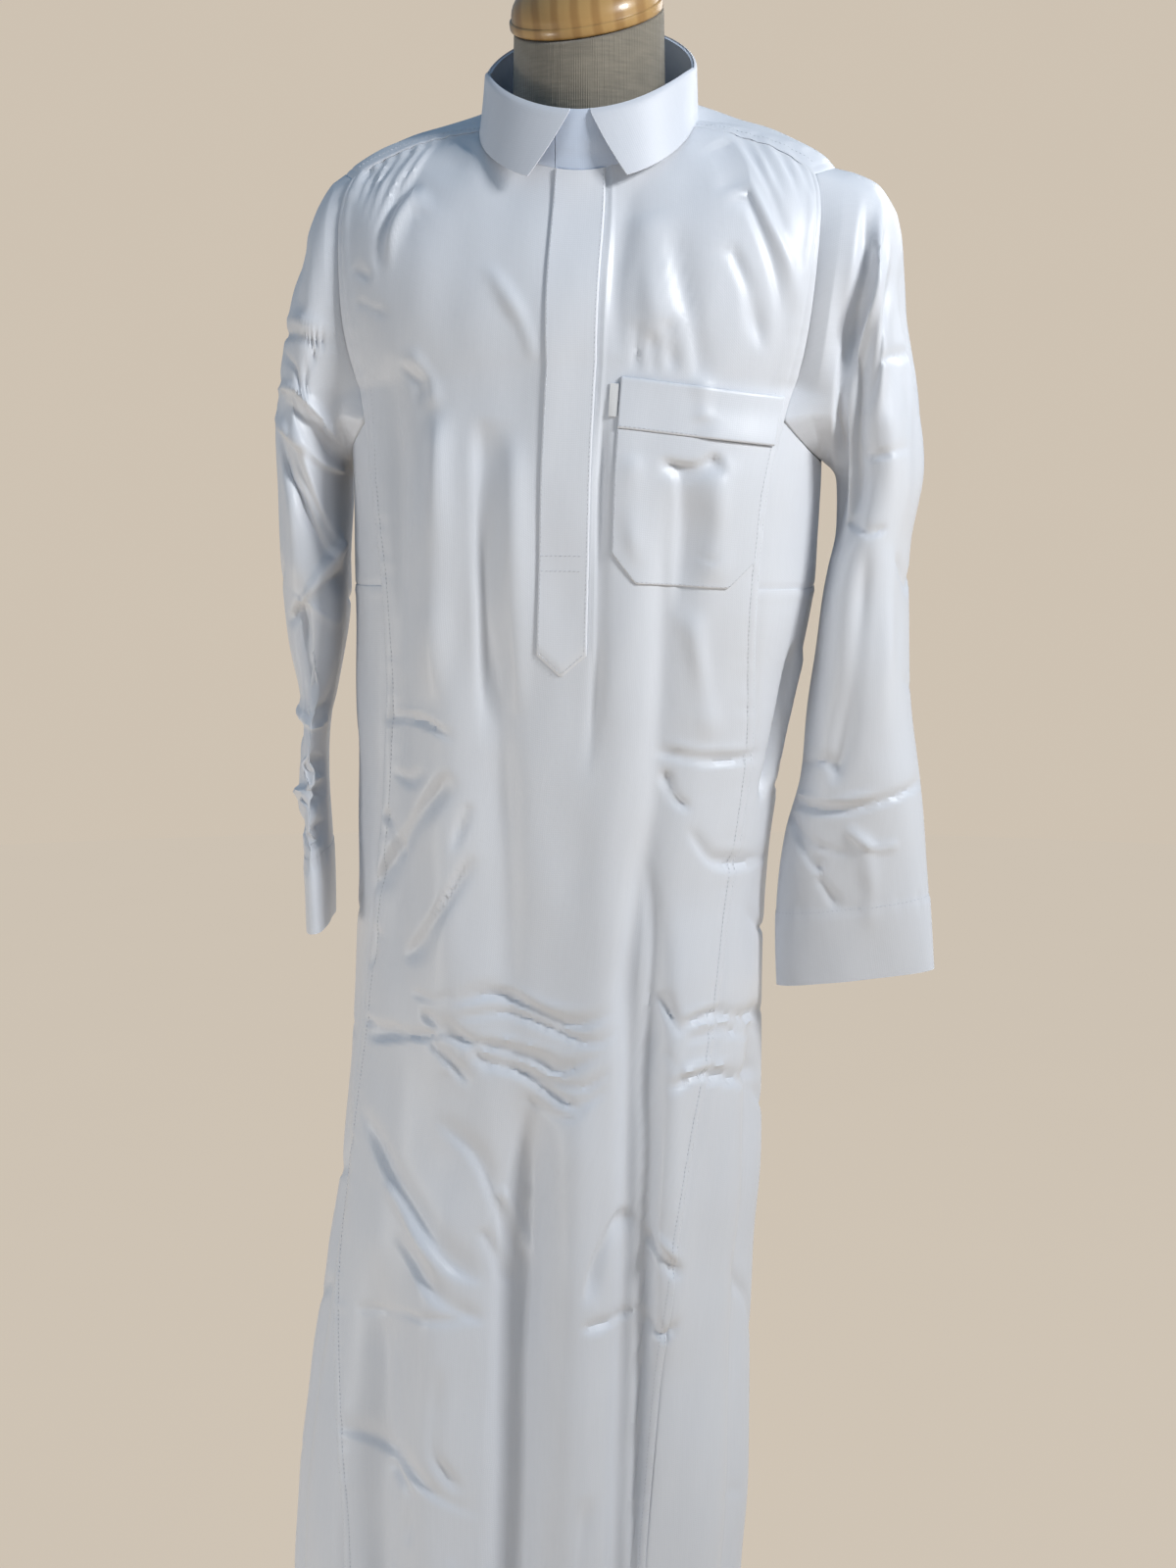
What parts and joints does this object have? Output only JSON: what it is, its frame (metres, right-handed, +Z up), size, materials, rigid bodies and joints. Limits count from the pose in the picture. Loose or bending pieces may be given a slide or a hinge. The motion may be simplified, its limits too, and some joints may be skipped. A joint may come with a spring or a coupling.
{
  "type": "thobe robe on a dress form",
  "caption": "Full-length white thobe with shirt collar, covered placket, chest pocket, gussets and side gores, worn by a limbless linen dress form on a pole and round base.",
  "frame": {"origin": "on the floor under the pole, at the centre of the base's underside", "axes": "+Z up, the robe faces -Y, the wearer's left is +X"},
  "size_m": [0.5587, 0.4, 1.6688],
  "materials": {
    "robe_cloth": "smooth white suiting cloth, faintly blue, with a soft sheen and packing creases",
    "collar_cloth": "the same cloth over a stiff interlining, flat and crisp",
    "tab_cloth": "small bare white woven tab with a dark edge",
    "linen": "plain grey-brown linen, slubby weave",
    "cap_wood": "golden varnished turned wood",
    "stand_metal": "satin black painted steel"
  },
  "bodies": {
    "root": {"front_panel": "robe_cloth", "back_panel": "robe_cloth", "yoke": "robe_cloth", "side_gore_left": "robe_cloth", "side_gore_right": "robe_cloth", "gusset_left": "robe_cloth", "gusset_right": "robe_cloth", "sleeve_left": "robe_cloth", "sleeve_right": "robe_cloth", "collar_stand": "collar_cloth", "collar_leaf": "collar_cloth", "placket": "robe_cloth", "chest_pocket": "robe_cloth", "pocket_band": "robe_cloth", "pocket_tab": "tab_cloth", "form_torso": "linen", "form_neck": "linen", "neck_cap": "cap_wood", "pole": "stand_metal", "base": "stand_metal"}
  },
  "joints": []
}
